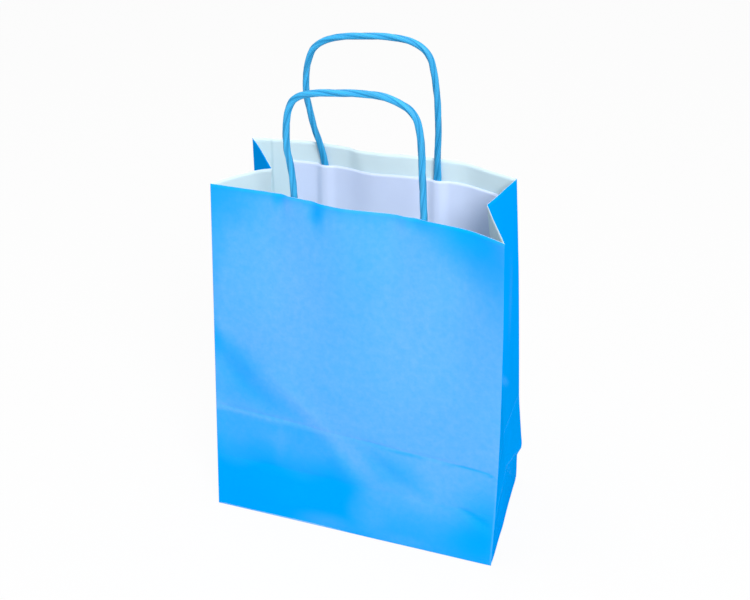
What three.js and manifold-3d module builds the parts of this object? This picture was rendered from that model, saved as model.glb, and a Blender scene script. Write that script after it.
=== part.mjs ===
import * as THREE from 'three';
import Module from 'manifold-3d';
import { mergeVertices } from 'three/addons/utils/BufferGeometryUtils.js';

const wasm = await Module();
wasm.setup();

// Paper carrier bag with two twisted paper handles, as it stands opened by hand.
// Millimetres, +Z up, x runs along the front panel, the front faces -y.
// The origin is on the surface it stands on, under the middle of the base.

// The sheet
const panelWidth = 182;
const gussetWidth = 85;
const bagHeight = 220;
const paper = 0.3;
const seamLap = 13;
const baseFlap = 49;

// Creases left by folding the base flat: a valley across the front, a ridge across the back
const valleyLeft = 74.5;
const valleyRight = 69;
const valleyDepth = 0.9;
const ridgeHeight = 1.1;
const faintCreaseHeight = 38;
const faintCreaseDepth = 0.3;

// Handles and the paper patches that hold them
const cordThickness = 4;
const cordGroove = 0.35;
const cordStrands = 3;
const cordPitch = 60;
const cordTuck = 37;
const heldShares = [1, 0.7, 0.35];
const frontHandle = { spacing: 78, shift: 0.6, reach: 66, lean: [0, 0] };
const backHandle = { spacing: 72, shift: -2.4, reach: 72, lean: [-3, 0] };
const frontPatch = { width: 134, height: 40, belowRim: 13, shift: 0 };
const backPatch = { width: 134, height: 40, belowRim: 13, shift: 6 };
const bumpRunOut = 5;
const clearance = 0.3;

// Each upright fold leans: share of the height, then how far it stands off its corner in x and y
const foldOffsets = {
  frontLeft: [[0, -0.3, 1.3], [1, 3.8, 20.9]],
  frontRight: [[0, 0.5, -1.5], [0.16, 1.6, -1.4], [0.4, 2.3, -1.3], [0.75, 1.1, -1.1], [1, -0.7, -1]],
  backRight: [[0, -4.7, 1.5], [0.1, -4.7, 0.8], [0.13, -2.3, 0.5], [0.25, -4.6, -0.3], [0.45, -6.4, -1.6],
    [0.7, -8.9, -3.3], [1, -12.9, -5.4]],
  backLeft: [[0, -1, 0], [1, 0, 5]],
};

// How far the centre fold of each gusset is pushed in: share of the height, then the depth
const gussetPush = {
  left: [[0, -0.4], [0.19, 7], [0.32, 13], [1, 26.5]],
  right: [[0, -0.4], [0.19, 1.5], [0.32, 3], [1, 13.4]],
};
const gussetDrift = 0.045;

// How the rim of each panel bows towards the back: share across from the left, then the bow
const rimBow = {
  front: [[0, 0], [0.1, 1.8], [0.22, 4.6], [0.33, 3.4], [0.45, 1.3], [0.55, 4.7], [0.645, 8.5], [0.7, 7.2],
    [0.86, 6.8], [1, 0]],
  back: [[0, 0], [0.1, 4.4], [0.2, 8], [0.37, 7.9], [0.44, 3.6], [0.57, 8.8], [0.67, 11], [0.8, 11.4],
    [0.88, 5.6], [1, 0]],
};
const bowFade = 1.6;

// Route of each handle above the rim, from its left leg: share of the way across, share of the reach
const archRoute = {
  front: [[-0.022, 0.32], [-0.037, 0.41], [-0.04, 0.5], [-0.036, 0.59], [-0.027, 0.68], [-0.012, 0.766],
    [0.022, 0.845], [0.06, 0.886], [0.11, 0.916], [0.24, 0.953], [0.39, 0.977], [0.535, 0.995], [0.68, 0.999],
    [0.8, 0.971], [0.89, 0.92], [0.94, 0.846], [0.961, 0.766], [0.972, 0.684], [0.977, 0.6], [0.985, 0.386],
    [0.993, 0.167]],
  back: [[-0.038, 0.121], [-0.078, 0.295], [-0.099, 0.425], [-0.1, 0.556], [-0.09, 0.643], [-0.069, 0.731],
    [-0.035, 0.819], [0.025, 0.88], [0.11, 0.927], [0.243, 0.961], [0.407, 0.982], [0.609, 0.995],
    [0.761, 0.979], [0.835, 0.953], [0.893, 0.912], [0.936, 0.843], [0.957, 0.763], [0.973, 0.682],
    [0.983, 0.6], [0.998, 0.433], [1.003, 0.261], [1.002, 0.086]],
};

// How finely the shapes are drawn
const panelColumns = 24;
const wallLevels = [0, 0.2, 0.4, 0.6, 0.76, 0.88, 0.95, 1];
const seamStep = 0.3;
const patchLevels = 6;
const closestColumns = 0.5;
const cordSides = 12;
const cordStep = 4.2;

// Sizes worked out from those above
const cordRadius = cordThickness / 2;
const valleyMiddle = (valleyLeft + valleyRight) / 2;
const apexHeight = gussetWidth / 2;
const ridgeLine = valleyMiddle - gussetWidth / 2;
const floorThickness = 2 * paper;
const corners = {
  frontLeft: [-panelWidth / 2, -gussetWidth / 2],
  frontRight: [panelWidth / 2, -gussetWidth / 2],
  backRight: [panelWidth / 2, gussetWidth / 2],
  backLeft: [-panelWidth / 2, gussetWidth / 2],
};
const seamShare = seamLap / panelWidth;
const seamEdge = seamStep / panelWidth / 2;
const columnShares = [...Array(panelColumns + 1)].map((_, i) => i / panelColumns)
  .filter((share) => Math.abs(share - seamShare) > 4 * seamEdge)
  .concat(seamShare - seamEdge, seamShare + seamEdge)
  .sort((a, b) => a - b);

const lerp = THREE.MathUtils.lerp;

// Value of a hand-chosen list of [place, value, value...] rows at one place
function valueAt(rows, place, column = 1) {
  const last = rows.length - 1;
  const next = Math.max(1, rows.findIndex((row, i) => i === last || row[0] >= place));
  const [before, after] = [rows[next - 1], rows[next]];
  const share = (place - before[0]) / (after[0] - before[0]);
  return lerp(before[column], after[column], share);
}

// Where an upright fold stands at a height
function foldPoint(name, z) {
  const [x, y] = corners[name];
  const share = z / bagHeight;
  const rows = foldOffsets[name];
  return new THREE.Vector3(x + valueAt(rows, share, 1), y + valueAt(rows, share, 2), z);
}

// Unit vector across the line from a to b, to its right when seen from above
function rightOf(a, b) {
  return new THREE.Vector3(b.y - a.y, a.x - b.x, 0).normalize();
}

// Where the centre fold of a gusset stands at a height
function gussetPoint(side, z) {
  const [from, to] = side === 'right' ? ['frontRight', 'backRight'] : ['backLeft', 'frontLeft'];
  const start = foldPoint(from, z);
  const end = foldPoint(to, z);
  const drift = (side === 'right' ? 1 : -1) * gussetDrift * (z / bagHeight);
  const push = valueAt(gussetPush[side], z / bagHeight);
  return start.clone().lerp(end, 0.5 + drift).addScaledVector(rightOf(start, end), -push);
}

// Height of a crease level at a share across the bag from left to right
const valleyAt = (share) => lerp(valleyLeft, valleyRight, share);
const crossCreases = {
  foot: { front: () => 0, gusset: () => 0, back: () => 0 },
  apex: { front: () => faintCreaseHeight, gusset: () => apexHeight, back: () => ridgeLine },
};

function levelHeight(level, part, share) {
  if (typeof level === 'string') return crossCreases[level][part](share);
  return lerp(valleyAt(share), bagHeight, level);
}

// How far a panel stands out of the plane between its two folds, away from the bag's middle
function reliefAt(side, share, z) {
  const valley = valleyAt(share);
  const rise = Math.max(0, (z - valley) / (bagHeight - valley));
  const bow = valueAt(rimBow[side], share) * rise ** bowFade;
  const inside = share > 0 && share < 1 ? 1 : 0;
  const near = (height, reach) => Math.max(0, 1 - Math.abs(z - height) / reach);
  if (side === 'back') return bow + inside * ridgeHeight * near(ridgeLine, ridgeLine / 2);
  const dent = valleyDepth * near(valley, valley - faintCreaseHeight)
    + faintCreaseDepth * near(faintCreaseHeight, faintCreaseHeight / 2);
  return -bow - inside * dent;
}

function columnPoint(side, share, z) {
  const left = foldPoint(`${side}Left`, z);
  const right = foldPoint(`${side}Right`, z);
  const outward = side === 'front' ? rightOf(left, right) : rightOf(right, left);
  return left.clone().lerp(right, share).addScaledVector(outward, reliefAt(side, share, z));
}

// A point off a panel, at a share across and a height, so far in from its outer face
function panelPoint(side, share, z, inward) {
  const next = Math.max(1, columnShares.findIndex((column) => column >= share));
  const a = columnPoint(side, columnShares[next - 1], z);
  const b = columnPoint(side, columnShares[next], z);
  const within = (share - columnShares[next - 1]) / (columnShares[next] - columnShares[next - 1]);
  const outward = side === 'front' ? rightOf(a, b) : rightOf(b, a);
  return a.lerp(b, within).addScaledVector(outward, -inward);
}

// Closed solid through rings of equally many points, each ring counter-clockwise seen against its run.
// foldedAt lists the places on the ring where a gusset's diagonal creases meet its centre fold.
function loft(rings, foldedAt = []) {
  const count = rings[0].length;
  const positions = rings.flat().flatMap((point) => point.toArray());
  const triangles = [];
  for (let k = 0; k + 1 < rings.length; k++) {
    const rising = rings[k + 1][0].z >= rings[k][0].z;
    for (let i = 0; i < count; i++) {
      const j = (i + 1) % count;
      const [a, b, c, d] = [k * count + i, k * count + j, (k + 1) * count + j, (k + 1) * count + i];
      const turned = foldedAt.includes(i) === rising && foldedAt.length > 0;
      if (turned) triangles.push(a, b, d, b, c, d);
      else triangles.push(a, b, c, a, c, d);
    }
  }
  const top = (rings.length - 1) * count;
  for (let i = 0; i < count / 2; i++) {
    const [a, b, c, d] = [i, i + 1, count - i - 1, (count - i) % count];
    if (a !== d) triangles.push(a, d, b, top + a, top + b, top + d);
    if (b !== c) triangles.push(b, d, c, top + b, top + c, top + d);
  }
  const geometry = new THREE.BufferGeometry();
  geometry.setAttribute('position', new THREE.Float32BufferAttribute(positions, 3));
  geometry.setIndex(triangles);
  return geometry;
}

// One ring round the bag at a level: left gusset fold, front, right gusset fold, back
function sheetRing(level) {
  const panel = (side) => columnShares.map((share) => columnPoint(side, share, levelHeight(level, side, share)));
  return [
    gussetPoint('left', levelHeight(level, 'gusset', 0)),
    ...panel('front'),
    gussetPoint('right', levelHeight(level, 'gusset', 1)),
    ...panel('back').reverse(),
  ];
}

// The same ring moved outwards (or inwards if negative), by an amount for each of its points
function offsetRing(ring, amounts) {
  const count = ring.length;
  return ring.map((point, i) => {
    const before = rightOf(ring[(i + count - 1) % count], point);
    const after = rightOf(point, ring[(i + 1) % count]);
    const middle = before.clone().add(after).normalize();
    return point.clone().addScaledVector(middle, amounts[i] / middle.dot(after));
  });
}

function asSolid(geometry) {
  const plain = geometry.index ? geometry : geometry.clone();
  plain.deleteAttribute('normal');
  plain.deleteAttribute('uv');
  const merged = mergeVertices(plain, 1e-5);
  return new wasm.Manifold(new wasm.Mesh({
    numProp: 3,
    vertProperties: new Float32Array(merged.attributes.position.array),
    triVerts: new Uint32Array(merged.index.array),
  }));
}

function asGeometry(solid) {
  const mesh = solid.getMesh();
  const geometry = new THREE.BufferGeometry();
  geometry.setAttribute('position', new THREE.BufferAttribute(new Float32Array(mesh.vertProperties), 3));
  geometry.setIndex(new THREE.BufferAttribute(new Uint32Array(mesh.triVerts), 1));
  return geometry;
}

// Walls and floor of the folded sheet. The seam's lap stands one paper proud on the back panel.
function sheetShell() {
  const levels = ['foot', 'apex', ...wallLevels];
  const rings = levels.map(sheetRing);
  const lapped = columnShares.filter((share) => share < seamShare).length;
  const count = rings[0].length;
  const outer = rings.map((ring) => offsetRing(ring, ring.map((_, i) => (i >= count - lapped ? paper : 0))));
  const inner = rings.map((ring) => offsetRing(ring, ring.map(() => -paper)));
  const onFlap = (point) => point.setZ(Math.max(point.z, paper));
  const onFloor = (point) => point.setZ(Math.max(point.z, paper + floorThickness));
  outer[0].forEach(onFlap);
  inner[0].forEach(onFloor);
  const foldedAt = [0, columnShares.length + 1];
  return loft([...outer, ...inner.reverse()], foldedAt);
}

// Outermost flap of the base, glued last: its long edge lies on the back fold, its ends are cut at 45 degrees
function flapPlate() {
  const inset = paper;
  const left = foldPoint('backLeft', 0).add(new THREE.Vector3(inset, -inset, 0));
  const right = foldPoint('backRight', 0).add(new THREE.Vector3(-inset, -inset, 0));
  const outline = new THREE.Shape();
  outline.moveTo(left.x, left.y);
  outline.lineTo(left.x + baseFlap, left.y - baseFlap);
  outline.lineTo(right.x - baseFlap, right.y - baseFlap);
  outline.lineTo(right.x, right.y);
  outline.closePath();
  return new THREE.ExtrudeGeometry(outline, { depth: 1.5 * paper, bevelEnabled: false });
}

function bagBody() {
  const joined = asSolid(sheetShell()).add(asSolid(flapPlate()));
  return asGeometry(joined);
}

// Width of a panel at the rim, fold to fold
function rimWidth(side) {
  return foldPoint(`${side}Left`, bagHeight).distanceTo(foldPoint(`${side}Right`, bagHeight));
}

// Share across a panel of a place so far right of the panel's middle at the rim
function shareAcross(side, fromMiddle) {
  return 0.5 + fromMiddle / rimWidth(side);
}

// How far each leg stands right of its panel's middle under the patch
function legPlaces(handle) {
  return [-0.5, 0.5].map((end) => handle.shift + end * handle.spacing);
}

// A handle's route: up one leg along the panel, over the arch and down the other leg.
// A leg stands upright at the held shares of its tuck, under the patch, and may lean from there to the rim.
function handleRoute(side, handle) {
  const inward = paper + clearance + cordRadius;
  const [leftLeg, rightLeg] = legPlaces(handle).map((place, i) => {
    const upright = heldShares
      .map((held) => panelPoint(side, shareAcross(side, place), bagHeight - held * cordTuck, inward));
    const atRim = shareAcross(side, place + handle.lean[i]);
    return [...upright, panelPoint(side, atRim, bagHeight, inward)];
  });
  const across = rightLeg.at(-1).clone().sub(leftLeg.at(-1));
  const up = new THREE.Vector3(0, 0, handle.reach);
  const arch = archRoute[side].map(([along, rise]) => leftLeg.at(-1).clone()
    .addScaledVector(across, along)
    .addScaledVector(up, rise));
  return new THREE.CatmullRomCurve3([...leftLeg, ...arch, ...rightLeg.reverse()], false, 'centripetal');
}

// Twisted cord: strands laid side by side, so the section has one lobe for each, turning along the route
function twistedHandle(side, handle) {
  const route = handleRoute(side, handle);
  const length = route.getLength();
  const steps = Math.round(length / cordStep);
  const rings = [];
  const sideways = rightOf(route.getPointAt(0), route.getPointAt(1));
  for (let k = 0; k <= steps; k++) {
    const centre = route.getPointAt(k / steps);
    const along = route.getTangentAt(k / steps);
    const across = new THREE.Vector3().crossVectors(along, sideways).normalize();
    const depthwise = new THREE.Vector3().crossVectors(across, along).normalize();
    const turn = 2 * Math.PI * (k / steps) * (length / cordPitch);
    rings.push([...Array(cordSides)].map((_, i) => {
      const angle = 2 * Math.PI * i / cordSides;
      const radius = cordRadius - cordGroove * (1 - Math.cos(cordStrands * (angle - turn))) / 2;
      return centre.clone()
        .addScaledVector(depthwise, radius * Math.cos(angle))
        .addScaledVector(across, radius * Math.sin(angle));
    }));
  }
  return loft(rings);
}

// How far a patch's outer side stands off the panel: clear of it, and over each leg where one lies
function patchLift(fromLeg) {
  const over = 2 * cordRadius + clearance;
  const edge = 0.5 * cordRadius;
  const fall = THREE.MathUtils.smoothstep(Math.abs(fromLeg), edge, cordRadius + bumpRunOut);
  return clearance + over * (1 - fall);
}

// Places across a patch, in millimetres from its panel's middle: the panel's own and finer ones over each leg
function patchColumns(side, handle, patch) {
  const ends = [-0.5, 0.5].map((end) => patch.shift + end * patch.width);
  const own = columnShares.map((share) => (share - 0.5) * rimWidth(side));
  const legs = legPlaces(handle);
  const fine = [-1, -0.7, -0.4, -0.16, 0, 0.16, 0.4, 0.7, 1].map((share) => share * (cordRadius + bumpRunOut));
  const overLegs = legs.flatMap((leg) => fine.map((step) => leg + step));
  const columns = [...own, ...overLegs]
    .filter((x) => x > ends[0] + closestColumns && x < ends[1] - closestColumns)
    .concat(ends)
    .sort((a, b) => a - b)
    .filter((x, i, all) => i === 0 || x - all[i - 1] > closestColumns);
  return { legs, columns };
}

// A patch glued to the inside of its panel, over both legs of the handle
function handlePatch(side, handle, patch) {
  const { legs, columns } = patchColumns(side, handle, patch);
  const row = (z, extra) => columns.map((x) => {
    const nearest = Math.min(...legs.map((leg) => Math.abs(x - leg)));
    return panelPoint(side, shareAcross(side, x), z, paper + patchLift(nearest) + extra);
  });
  const top = bagHeight - patch.belowRim;
  const rings = [...Array(patchLevels)].map((_, k) => {
    const z = top - patch.height * (1 - k / (patchLevels - 1));
    const [near, far] = side === 'front' ? [row(z, 0), row(z, paper)] : [row(z, paper), row(z, 0)];
    return [...near, ...far.reverse()];
  });
  return loft(rings);
}

const bluePaper = new THREE.MeshStandardMaterial({ color: 0x1b9bf5, roughness: 0.45, metalness: 0 });
const blueCord = new THREE.MeshStandardMaterial({ color: 0x3a9be6, roughness: 0.6, metalness: 0 });
const whitePaper = new THREE.MeshStandardMaterial({ color: 0xdfe8f2, roughness: 0.8, metalness: 0 });

function addPiece(group, name, geometry, material) {
  const flat = geometry.toNonIndexed();
  flat.computeVertexNormals();
  const mesh = new THREE.Mesh(flat, material);
  mesh.name = name;
  group.add(mesh);
}

const bag = new THREE.Group();
bag.name = 'paper_carrier_bag';
addPiece(bag, 'bag_body', bagBody(), bluePaper);
addPiece(bag, 'front_handle', twistedHandle('front', frontHandle), blueCord);
addPiece(bag, 'back_handle', twistedHandle('back', backHandle), blueCord);
addPiece(bag, 'front_handle_patch', handlePatch('front', frontHandle, frontPatch), whitePaper);
addPiece(bag, 'back_handle_patch', handlePatch('back', backHandle, backPatch), whitePaper);

export default bag;
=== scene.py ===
"""Paper carrier bag with two twisted paper handles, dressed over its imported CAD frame.

Lengths are in metres and +Z is up. x runs along the front panel and the front faces -y.
"""

import math

import bmesh
import bpy
from bpy.props import FloatProperty, FloatVectorProperty, IntProperty, PointerProperty
from bpy.types import Operator, Panel, PropertyGroup
from mathutils import Matrix, Vector, noise


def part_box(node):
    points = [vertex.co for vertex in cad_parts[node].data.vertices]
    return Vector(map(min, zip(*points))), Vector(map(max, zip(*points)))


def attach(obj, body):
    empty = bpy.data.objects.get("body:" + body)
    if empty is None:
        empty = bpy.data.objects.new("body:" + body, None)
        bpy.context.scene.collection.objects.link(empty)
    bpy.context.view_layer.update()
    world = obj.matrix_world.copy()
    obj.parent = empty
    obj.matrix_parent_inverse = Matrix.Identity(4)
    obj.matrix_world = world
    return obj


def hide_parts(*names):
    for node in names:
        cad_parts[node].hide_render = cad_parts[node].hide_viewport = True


bl_info = {
    "name": "Paper Carrier Bag",
    "version": (1, 0, 0),
    "blender": (4, 5, 0),
    "location": "View3D > Sidebar > Paper Bag",
    "description": "Makes an opened paper carrier bag with twisted paper handles",
    "category": "Add Mesh",
}

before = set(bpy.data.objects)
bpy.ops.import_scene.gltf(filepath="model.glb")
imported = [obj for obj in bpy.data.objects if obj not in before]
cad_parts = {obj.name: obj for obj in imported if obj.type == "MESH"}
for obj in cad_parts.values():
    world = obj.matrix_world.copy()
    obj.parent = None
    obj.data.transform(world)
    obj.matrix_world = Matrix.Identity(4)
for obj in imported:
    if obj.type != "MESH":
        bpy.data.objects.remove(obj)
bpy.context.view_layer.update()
BODY_LOW, BODY_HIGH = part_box("bag_body")
MM = 0.001
SIDE_WIDTH = BODY_HIGH.x - BODY_LOW.x
GUSSET_HALF = 42.5 * MM
SAME_POINT = 0.001 * MM

# Sides of the sheet, in the order they go round the bag from the middle fold of the left gusset
SIDES = ("left_front", "front", "right_front", "right_back", "back", "left_back")
PANELS = ("front", "back")

# Crease heights at the six folds, from the middle fold of the left gusset round to it again
FOOT_LINE = (0.15 * MM,) * len(SIDES)
APEX_LINE = (GUSSET_HALF, 38 * MM, 38 * MM, GUSSET_HALF, 26.5 * MM, 32 * MM)
VALLEY_LINE = (74.5 * MM, 74.5 * MM, 69 * MM, 69 * MM, 69 * MM, 74.5 * MM)


class PaperSettings(PropertyGroup):
    """Sheet that the bag is folded from."""

    outside_colour: FloatVectorProperty(
        name="Outside colour",
        description="Printed outer face of the paper",
        subtype="COLOR",
        min=0,
        max=1,
        default=(0.0, 0.355, 0.98),
    )
    inside_colour: FloatVectorProperty(
        name="Inside colour",
        description="Unprinted inner face of the paper",
        subtype="COLOR",
        min=0,
        max=1,
        default=(0.68, 0.84, 0.90),
    )
    edge_colour: FloatVectorProperty(
        name="Edge colour",
        description="Cut edge of the paper",
        subtype="COLOR",
        min=0,
        max=1,
        default=(0.75, 0.86, 0.95),
    )
    thickness: FloatProperty(
        name="Thickness",
        description="Thickness of one layer of paper",
        subtype="DISTANCE",
        unit="LENGTH",
        min=0.05 * MM,
        max=1 * MM,
        default=0.18 * MM,
    )
    mesh_step: FloatProperty(
        name="Mesh step",
        description="Largest distance between two points of the paper's mesh",
        subtype="DISTANCE",
        unit="LENGTH",
        min=1 * MM,
        max=10 * MM,
        default=2.4 * MM,
    )
    crease_depth: FloatProperty(
        name="Crease depth",
        description="How deep the pressed creases across the panels are",
        subtype="DISTANCE",
        unit="LENGTH",
        min=0,
        max=2 * MM,
        default=0.6 * MM,
    )
    seam_lap: FloatProperty(
        name="Seam lap",
        description="Width of the glued lap on the back panel",
        subtype="DISTANCE",
        unit="LENGTH",
        min=5 * MM,
        max=30 * MM,
        default=13 * MM,
    )
    base_flap: FloatProperty(
        name="Base flap",
        description="Depth of the two long flaps of the base",
        subtype="DISTANCE",
        unit="LENGTH",
        min=20 * MM,
        max=90 * MM,
        default=49 * MM,
    )


class HandleSettings(PropertyGroup):
    """Twisted paper cords and the patches that hold them."""

    colour: FloatVectorProperty(
        name="Colour",
        description="Dyed paper of the cords",
        subtype="COLOR",
        min=0,
        max=1,
        default=(0.03, 0.39, 0.76),
    )
    # Painted shade: a darker colour put at the bottom of the cord's grooves, where shade falls
    groove_shade_colour: FloatVectorProperty(
        name="Groove colour",
        description="Shaded dye at the bottom of the grooves",
        subtype="COLOR",
        min=0,
        max=1,
        default=(0.0, 0.22, 0.50),
    )
    thickness: FloatProperty(
        name="Thickness",
        description="Thickness of a cord",
        subtype="DISTANCE",
        unit="LENGTH",
        min=2 * MM,
        max=8 * MM,
        default=4 * MM,
    )
    groove: FloatProperty(
        name="Groove depth",
        description="Depth of the grooves that the twist leaves",
        subtype="DISTANCE",
        unit="LENGTH",
        min=0,
        max=1 * MM,
        default=0.32 * MM,
    )
    strands: IntProperty(
        name="Strands",
        description="Ridges side by side in a cord",
        min=1,
        max=6,
        default=3,
    )
    pitch: FloatProperty(
        name="Twist pitch",
        description="Length of one full turn of the twist",
        subtype="DISTANCE",
        unit="LENGTH",
        min=5 * MM,
        max=100 * MM,
        default=60 * MM,
    )
    patch_colour: FloatVectorProperty(
        name="Patch colour",
        description="Paper of the patches glued over the ends of the cords",
        subtype="COLOR",
        min=0,
        max=1,
        default=(0.66, 0.755, 1.0),
    )


class StageSettings(PropertyGroup):
    """Camera, lamps and floor."""

    look_at: FloatVectorProperty(
        name="Look at",
        description="Point in the middle of the view",
        subtype="TRANSLATION",
        unit="LENGTH",
        default=(-1.63 * MM, 16.14 * MM, 136.93 * MM),
    )
    distance: FloatProperty(
        name="Distance",
        description="From the camera to the point it looks at",
        subtype="DISTANCE",
        unit="LENGTH",
        min=0.1,
        max=5,
        default=0.7344,
    )
    azimuth: FloatProperty(
        name="Azimuth",
        description="How far the camera stands round to the right of the front",
        subtype="ANGLE",
        default=math.radians(19.221),
    )
    elevation: FloatProperty(
        name="Elevation",
        description="How far the camera stands above the horizon",
        subtype="ANGLE",
        default=math.radians(30.362),
    )
    roll: FloatProperty(
        name="Roll",
        description="Turn of the camera about its own axis",
        subtype="ANGLE",
        default=math.radians(-0.791),
    )
    focal_length: FloatProperty(
        name="Focal length",
        description="Focal length on a 36 mm wide sensor, in millimetres",
        min=20,
        max=200,
        default=57.6,
    )
    key_power: FloatProperty(
        name="Key power",
        description="Power of the large lamp at the upper right",
        unit="POWER",
        min=0,
        max=100,
        default=19,
    )
    top_power: FloatProperty(
        name="Top power",
        description="Power of the lamp overhead, which lights the inside",
        unit="POWER",
        min=0,
        max=100,
        default=7.5,
    )
    sky_strength: FloatProperty(
        name="Sky strength",
        description="Even light from all round",
        min=0,
        max=2,
        default=0.4,
    )


def settings(name):
    """The settings of one group, as the panel shows them."""
    return getattr(bpy.context.scene, name)


def blend(a, b, share):
    """Value between a and b at a share of the way."""
    return a + (b - a) * share


def ease(share):
    """0 to 1 with a soft start and end."""
    held = min(1.0, max(0.0, share))
    return held * held * (3 - 2 * held)


def bell(distance, reach):
    """1 at no distance, falling softly to 0 at the reach."""
    return 1 - ease(abs(distance) / reach)


# Reading the folded sheet from the frame


def outline_at(body_mesh, height):
    """Points round the outer face of the bag's wall at one height."""
    cut = bmesh.new()
    cut.from_mesh(body_mesh)
    bmesh.ops.remove_doubles(cut, verts=cut.verts, dist=SAME_POINT)
    everything = cut.verts[:] + cut.edges[:] + cut.faces[:]
    found = bmesh.ops.bisect_plane(cut, geom=everything, plane_co=(0, 0, height), plane_no=(0, 0, 1))
    edges = {item for item in found["geom_cut"] if isinstance(item, bmesh.types.BMEdge)}
    outlines = []
    while edges:
        edge = edges.pop()
        start, here = edge.verts
        outline = [start.co.copy(), here.co.copy()]
        while here is not start:
            edge = next((e for e in here.link_edges if e in edges), None)
            if edge is None:
                break
            edges.discard(edge)
            here = edge.other_vert(here)
            outline.append(here.co.copy())
        outlines.append(outline[:-1])
    cut.free()
    return max(outlines, key=span_of)


def span_of(points):
    """Width plus depth of the box round some points."""
    wide = max(p.x for p in points) - min(p.x for p in points)
    deep = max(p.y for p in points) - min(p.y for p in points)
    return wide + deep


def corner_index(outline, x, y):
    """Place on an outline of the point that lies furthest towards x, y."""
    return max(range(len(outline)), key=lambda i: outline[i].x * x + outline[i].y * y)


def between(outline, start, end):
    """The points of a closed outline from one place to another."""
    count = len(outline)
    return [outline[(start + i) % count] for i in range((end - start) % count + 1)]


def sides_at(body_mesh, height):
    """The six sides of the wall at one height, each a list of points from fold to fold."""
    outline = outline_at(body_mesh, height)
    turning = sum(a.x * b.y - b.x * a.y for a, b in zip(outline, outline[1:] + outline[:1]))
    if turning < 0:
        outline.reverse()
    front_left = corner_index(outline, -1, -1)
    front_right = corner_index(outline, 1, -1)
    back_right = corner_index(outline, 1, 1)
    back_left = corner_index(outline, -1, 1)
    front = between(outline, front_left, front_right)
    right = between(outline, front_right, back_right)
    back = between(outline, back_right, back_left)
    left = between(outline, back_left, front_left)
    right_fold = fold_in(right, height)
    left_fold = fold_in(left, height)
    return {
        "left_front": left[left_fold:],
        "front": front,
        "right_front": right[: right_fold + 1],
        "right_back": right[right_fold:],
        "back": back,
        "left_back": left[: left_fold + 1],
    }


def fold_in(points, height):
    """Place of a gusset's middle fold: half way where the gusset is flat, else its deepest point."""
    inner = range(1, len(points) - 1)
    if height < GUSSET_HALF:
        middle = (points[0] + points[-1]) / 2
        return min(inner, key=lambda i: (points[i] - middle).length)
    a, b = points[0], points[-1]
    across = Vector((b.y - a.y, a.x - b.x)).normalized()
    return max(inner, key=lambda i: abs((points[i] - a).xy.dot(across)))


def resampled(points, count, measure=None):
    """The same run of points in count even steps of its length, or of another measure."""
    if measure is None:
        measure = [0.0]
        for a, b in zip(points, points[1:]):
            measure.append(measure[-1] + (b - a).length)
    made = []
    place = 0
    for i in range(count + 1):
        wanted = measure[-1] * i / count
        while place < len(points) - 2 and measure[place + 1] < wanted:
            place += 1
        step = measure[place + 1] - measure[place] or 1
        made.append(points[place].lerp(points[place + 1], (wanted - measure[place]) / step))
    return made


def along_chord(points):
    """How far each point lies along the straight line from the first to the last."""
    chord = (points[-1] - points[0]).normalized()
    return [(p - points[0]).dot(chord) for p in points]


def softened(points, reach):
    """A run of points smoothed over some neighbours, its two ends held."""
    last = len(points) - 1
    weights = [math.exp(-2 * (k / reach) ** 2) for k in range(-reach, reach + 1)]
    made = []
    for i in range(last + 1):
        total = Vector((0, 0, 0))
        for k, weight in zip(range(-reach, reach + 1), weights):
            j = i + k
            if j < 0:
                point = 2 * points[0] - points[-j]
            elif j > last:
                point = 2 * points[last] - points[2 * last - j]
            else:
                point = points[j]
            total += weight * point
        made.append(total / sum(weights))
    return made


class FoldedSheet:
    """Outer face of the bag's wall, as heights by shares across each side."""

    LEVEL_STEP = 2 * MM
    LOWEST = 1.5 * MM
    UNDER_RIM = 0.05 * MM
    PANEL_COLUMNS = 90
    GUSSET_COLUMNS = 21
    PANEL_REACH = 4
    GUSSET_REACH = 2
    UPRIGHT_REACH = 5
    SLOPE_SHARE = 0.02
    SLOPE_HEIGHT = 3 * MM

    def __init__(self, body_mesh, rim):
        self.rim = rim
        count = round((rim - self.LOWEST) / self.LEVEL_STEP)
        self.levels = [blend(self.LOWEST, rim - self.UNDER_RIM, k / count) for k in range(count + 1)]
        rows = [sides_at(body_mesh, level) for level in self.levels]
        self.table = {side: self.read_side(side, rows) for side in SIDES}

    def read_side(self, side, rows):
        """Table of smoothed points for one side, lowest row first."""
        count = self.PANEL_COLUMNS if side in PANELS else self.GUSSET_COLUMNS
        reach = self.PANEL_REACH if side in PANELS else self.GUSSET_REACH
        across = []
        for row in rows:
            points = row[side]
            across.append(softened(resampled(points, count, along_chord(points)), reach))
        above = next(k for k, level in enumerate(self.levels) if level > max(VALLEY_LINE))
        columns = []
        for column in zip(*across):
            columns.append(list(column[:above]) + softened(list(column[above:]), self.UPRIGHT_REACH))
        return [list(row) for row in zip(*columns)]

    def point(self, side, share, height):
        """Point on the outer face at a share across a side and a height."""
        table = self.table[side]
        place = (height - self.levels[0]) / (self.levels[-1] - self.levels[0]) * (len(self.levels) - 1)
        low = min(len(table) - 2, max(0, math.floor(place)))
        column = share * (len(table[0]) - 1)
        left = min(len(table[0]) - 2, max(0, math.floor(column)))
        along = column - left
        rise = place - low
        lower = table[low][left].lerp(table[low][left + 1], along)
        upper = table[low + 1][left].lerp(table[low + 1][left + 1], along)
        found = blend(lower, upper, rise)
        found.z = height
        return found

    def outward(self, side, share, height):
        """Unit vector off the outer face there."""
        left = self.point(side, max(0, share - self.SLOPE_SHARE), height)
        right = self.point(side, min(1, share + self.SLOPE_SHARE), height)
        lower = self.point(side, share, height - self.SLOPE_HEIGHT)
        upper = self.point(side, share, height + self.SLOPE_HEIGHT)
        return (right - left).cross(upper - lower).normalized()


def load_sheet():
    """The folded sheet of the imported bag."""
    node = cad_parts["bag_body"]
    return FoldedSheet(node.data, BODY_HIGH.z)


# Small forms pressed into the paper

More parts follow.
